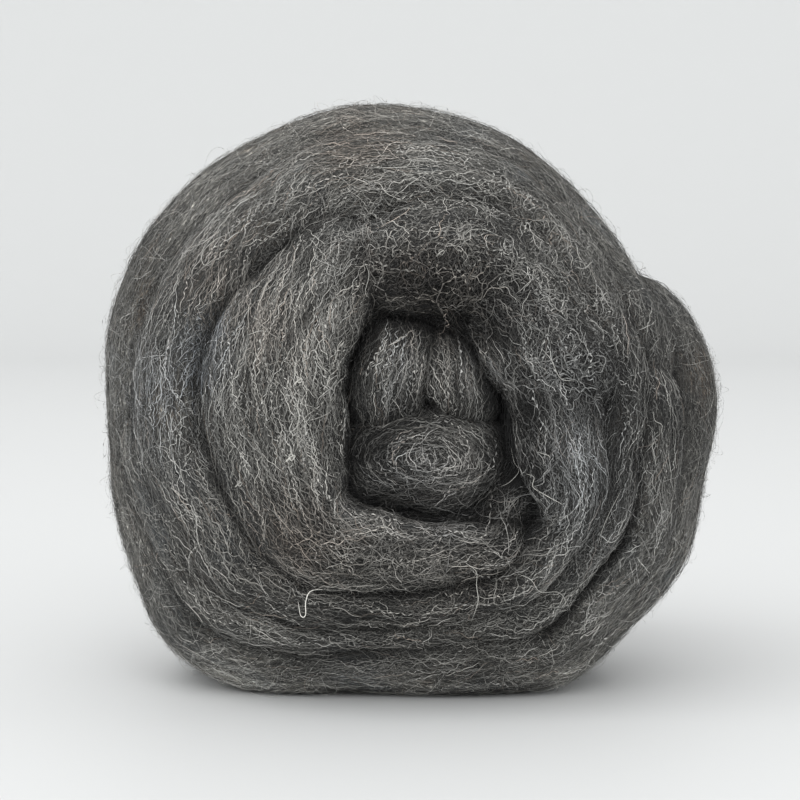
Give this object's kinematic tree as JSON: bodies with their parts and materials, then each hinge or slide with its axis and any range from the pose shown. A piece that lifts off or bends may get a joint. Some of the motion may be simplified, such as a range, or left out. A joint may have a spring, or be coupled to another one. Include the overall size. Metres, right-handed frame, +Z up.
{
  "type": "ball of wool roving",
  "caption": "Soft ball of untwisted wool roving, wound over itself with the inner end tucked into its eye, standing on a small flat spot.",
  "frame": {"origin": "on the surface that the ball rests on, under the middle of its box", "axes": "+Z up, -Y out of the eye of the winding, +X to the right when looking at the eye"},
  "size_m": [0.1273, 0.1113, 0.1207],
  "materials": {
    "wool": "matte natural charcoal wool with mixed light and dark fibres"
  },
  "bodies": {
    "root": {"roving_ball": "wool"}
  },
  "joints": []
}
